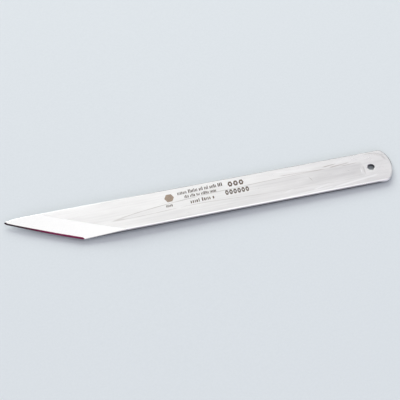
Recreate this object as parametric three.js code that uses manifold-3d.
// A bookbinder's paring knife: one flat bar of tool steel with a skewed cutting edge, ground from
// the upper face only, a rounded grip end and a hole to hang it by. A bead of lacquer guards the edge.
// Millimetres. X runs along the bar, from the point to the grip end; Y runs across it; Z is up.
// The origin is the middle of the flat back, which lies on Z = 0.

import * as THREE from "three";
import { mergeVertices } from "three/addons/utils/BufferGeometryUtils.js";
import Module from "manifold-3d";

const wasm = await Module();
wasm.setup();

// ---- Driving dimensions ----

// The bar.
const LENGTH = 235;
const WIDTH = 22;
const THICKNESS = 2;
const FACE_CHAMFER = 0.45; // round the upper face
const END_RADIUS = 15.5; // the shallow arc of the grip end
const END_CORNER_RADIUS = 4.4; // where that arc meets the long sides

// The hanging hole.
const HOLE_RADIUS = 2.1;
const HOLE_FROM_END = 12.9;
const HOLE_CHAMFER = 0.2;

// The cutting edge.
const HEEL_X = -72.7; // where the edge leaves the near long side
const EDGE_ANGLE = THREE.MathUtils.degToRad(24.43); // between the edge's chord and the bar
const EDGE_CROWN = 0.4; // how far the edge bows out from its chord
const EDGE_CHORDS = 6; // straight cuts that follow the bow
const BEVEL_WIDTH = 9.9; // from the edge to the ridge, square to the edge
const NOSE_RADIUS = 0.7; // the blunt point
const SPINE_DROP_RADIUS = 34; // the far side curves down to the point on this radius

// The lacquer bead, seen square to the edge.
const BEAD_AHEAD = 0.3; // how far it stands out in front of the edge
const BEAD_REACH = 0.55; // how far it reaches up the bevel
const BEAD_SKIN = 0.1; // its thickness at its upper rim
const BEAD_CREST = 0.26; // how high its rounded top is drawn over the edge
const BEAD_CLEARANCE = 0.04; // from the steel, all the way along
const BEAD_HEEL_GAP = 0.8; // bare edge left at the heel

// How finely the arcs are cut.
const ARC_DIVISIONS = 12;
const HOLE_DIVISIONS = 48;

// ---- Places worked out from them ----

const halfLength = LENGTH / 2;
const halfWidth = WIDTH / 2;
const bevelAngle = Math.atan2(THICKNESS, BEVEL_WIDTH);
const farTooBig = 2 * LENGTH; // the size of a block that stands for everything beyond a plane

// The edge's chord runs from the heel to the level of the point.
const alongEdge = new THREE.Vector2(-Math.cos(EDGE_ANGLE), Math.sin(EDGE_ANGLE));
const intoSteel = new THREE.Vector2(Math.sin(EDGE_ANGLE), Math.cos(EDGE_ANGLE));
const heel = new THREE.Vector2(HEEL_X, -halfWidth);
const chordLength = (HEEL_X + halfLength) / Math.cos(EDGE_ANGLE);

// The edge at a share of its chord, 0 at the heel and 1 at the point: a parabola bows it outwards.
function edgePoint(share) {
  const bow = EDGE_CROWN * 4 * share * (1 - share);
  return heel
    .clone()
    .addScaledVector(alongEdge, share * chordLength)
    .addScaledVector(intoSteel, -bow);
}

const edgePoints = Array.from({ length: EDGE_CHORDS + 1 }, (_, i) => edgePoint(i / EDGE_CHORDS));

// The nose circle touches the bar's far left end and the last cut of the edge.
const lastCut = edgePoints[EDGE_CHORDS].clone().sub(edgePoints[EDGE_CHORDS - 1]).normalize();
const lastInto = new THREE.Vector2(lastCut.y, -lastCut.x);
const noseX = -halfLength + NOSE_RADIUS;
const onLastCut = edgePoints[EDGE_CHORDS].clone().addScaledVector(lastInto, NOSE_RADIUS);
const noseY = onLastCut.y + ((noseX - onLastCut.x) * lastCut.y) / lastCut.x;
const nose = new THREE.Vector2(noseX, noseY);

// The spine's drop is an arc that leaves the far long side and runs into the nose circle.
const dropY = halfWidth - SPINE_DROP_RADIUS;
const dropReach = SPINE_DROP_RADIUS - NOSE_RADIUS;
const dropX = noseX + Math.sqrt(dropReach ** 2 - (noseY - dropY) ** 2);
const dropEndAngle = Math.atan2(noseY - dropY, noseX - dropX);

// The nose circle runs round to where the last cut touches it.
const noseEnd = nose.clone().addScaledVector(lastInto, -NOSE_RADIUS);
const noseEndAngle = 2 * Math.PI + Math.atan2(noseEnd.y - noseY, noseEnd.x - noseX);

// The grip end's corner circles touch a long side and the end arc.
const endCentreX = halfLength - END_RADIUS;
const cornerY = halfWidth - END_CORNER_RADIUS;
const cornerX = endCentreX + Math.sqrt((END_RADIUS - END_CORNER_RADIUS) ** 2 - cornerY ** 2);
const cornerAngle = Math.atan2(cornerY, cornerX - endCentreX);

// ---- Helpers ----

// A closed three.js geometry as a solid that can be cut.
function solid(geometry, matrix = new THREE.Matrix4()) {
  const plain = geometry.clone().applyMatrix4(matrix);
  plain.deleteAttribute("normal");
  plain.deleteAttribute("uv");
  const merged = mergeVertices(plain, 1e-4);
  const mesh = new wasm.Mesh({
    numProp: 3,
    vertProperties: merged.attributes.position.array,
    triVerts: new Uint32Array(merged.index.array),
  });
  return new wasm.Manifold(mesh);
}

// A cut solid as a three.js geometry again.
function geometryOf(cutSolid) {
  const mesh = cutSolid.getMesh();
  const geometry = new THREE.BufferGeometry();
  geometry.setAttribute("position", new THREE.BufferAttribute(mesh.vertProperties, 3));
  geometry.setIndex(new THREE.BufferAttribute(mesh.triVerts, 1));
  const faceted = geometry.toNonIndexed();
  faceted.computeVertexNormals();
  return faceted;
}

function named(name, geometry, colour, roughness, metalness) {
  const material = new THREE.MeshStandardMaterial({ color: colour, roughness, metalness });
  const mesh = new THREE.Mesh(geometry, material);
  mesh.name = name;
  return mesh;
}

// ---- The steel bar ----

// The bar's outline. It drops straight down from the nose, and the cuts of the edge take the rest.
function barOutline() {
  const shape = new THREE.Shape();
  shape.moveTo(noseEnd.x, -halfWidth);
  shape.lineTo(cornerX, -halfWidth);
  shape.absarc(cornerX, -cornerY, END_CORNER_RADIUS, -Math.PI / 2, -cornerAngle);
  shape.absarc(endCentreX, 0, END_RADIUS, -cornerAngle, cornerAngle);
  shape.absarc(cornerX, cornerY, END_CORNER_RADIUS, cornerAngle, Math.PI / 2);
  shape.absarc(dropX, dropY, SPINE_DROP_RADIUS, Math.PI / 2, dropEndAngle);
  shape.absarc(noseX, noseY, NOSE_RADIUS, dropEndAngle, noseEndAngle);
  shape.closePath();
  return shape;
}

// The bar before grinding: its upper rim is chamfered, its back is sharp and flat.
function bar() {
  const geometry = new THREE.ExtrudeGeometry(barOutline(), {
    depth: THICKNESS,
    bevelSize: FACE_CHAMFER,
    bevelThickness: FACE_CHAMFER,
    bevelOffset: -FACE_CHAMFER,
    bevelSegments: 1,
    curveSegments: ARC_DIVISIONS,
  });
  const lowered = new THREE.Matrix4().makeTranslation(0, 0, -FACE_CHAMFER);
  const belowBack = new THREE.BoxGeometry(farTooBig, farTooBig, THICKNESS);
  const under = new THREE.Matrix4().makeTranslation(0, 0, -THICKNESS / 2);
  return solid(geometry, lowered).subtract(solid(belowBack, under));
}

// All that lies above the bevel's plane, along one straight cut of the edge.
function bevelCut(from, to) {
  const cut = to.clone().sub(from).normalize();
  const backwards = new THREE.Vector3(-cut.x, -cut.y, 0);
  const rise = Math.sin(bevelAngle);
  const run = Math.cos(bevelAngle);
  const upBevel = new THREE.Vector3(cut.y * run, -cut.x * run, rise);
  const outOfBevel = new THREE.Vector3().crossVectors(backwards, upBevel);
  const block = new THREE.BoxGeometry(farTooBig, farTooBig, LENGTH).translate(0, 0, LENGTH / 2);
  const placed = new THREE.Matrix4().makeBasis(backwards, upBevel, outOfBevel);
  placed.setPosition(from.x, from.y, 0);
  return solid(block, placed);
}

// The hole's drill: a straight shank that widens at the upper face and runs past both faces.
function holeDrill() {
  const past = 1;
  const flare = HOLE_CHAMFER + past;
  const profile = [
    new THREE.Vector2(0, -past),
    new THREE.Vector2(HOLE_RADIUS, -past),
    new THREE.Vector2(HOLE_RADIUS, THICKNESS - HOLE_CHAMFER),
    new THREE.Vector2(HOLE_RADIUS + flare, THICKNESS + past),
    new THREE.Vector2(0, THICKNESS + past),
  ];
  const lathe = new THREE.LatheGeometry(profile, HOLE_DIVISIONS);
  const upright = new THREE.Matrix4().makeRotationX(Math.PI / 2);
  upright.setPosition(halfLength - HOLE_FROM_END, 0, 0);
  return solid(lathe, upright);
}

function bladeGeometry() {
  let steel = bar().subtract(holeDrill());
  for (let i = 0; i < EDGE_CHORDS; i += 1) {
    steel = steel.subtract(bevelCut(edgePoints[i], edgePoints[i + 1]));
  }
  return geometryOf(steel);
}

// ---- The lacquer bead ----

// Its section, square to the edge. A sweep along a level path turns a section's x to point down
// and its y to point out of the steel, so each point (into the steel, up) is turned the same way.
function beadSection() {
  const turned = (into, up) => [-up, -into];
  const rimFoot = BEAD_REACH * Math.tan(bevelAngle) + BEAD_CLEARANCE;
  const section = new THREE.Shape();
  section.moveTo(...turned(-BEAD_CLEARANCE, 0));
  section.lineTo(...turned(-BEAD_CLEARANCE, BEAD_CLEARANCE));
  section.lineTo(...turned(BEAD_REACH, rimFoot));
  section.lineTo(...turned(BEAD_REACH - BEAD_SKIN / 2, rimFoot + BEAD_SKIN));
  section.quadraticCurveTo(...turned(0, BEAD_CREST + BEAD_SKIN), ...turned(-BEAD_AHEAD, BEAD_SKIN));
  section.lineTo(...turned(-BEAD_AHEAD, 0));
  section.closePath();
  return section;
}

// Sweeps the section from the heel to where the nose begins.
function beadGeometry() {
  const start = edgePoints[0].clone().addScaledVector(alongEdge, BEAD_HEEL_GAP);
  const stops = [start, ...edgePoints.slice(1, EDGE_CHORDS), noseEnd];
  const path = new THREE.CurvePath();
  for (let i = 1; i < stops.length; i += 1) {
    const from = new THREE.Vector3(stops[i - 1].x, stops[i - 1].y, 0);
    const to = new THREE.Vector3(stops[i].x, stops[i].y, 0);
    path.add(new THREE.LineCurve3(from, to));
  }
  return new THREE.ExtrudeGeometry(beadSection(), {
    extrudePath: path,
    steps: 3 * EDGE_CHORDS,
    curveSegments: ARC_DIVISIONS / 2,
  });
}

// ---- The knife ----

const knife = new THREE.Group();
knife.add(named("blade", bladeGeometry(), 0xd2d2cf, 0.3, 1));
knife.add(named("edge_lacquer", beadGeometry(), 0x4a0d22, 0.25, 0));

export default knife;
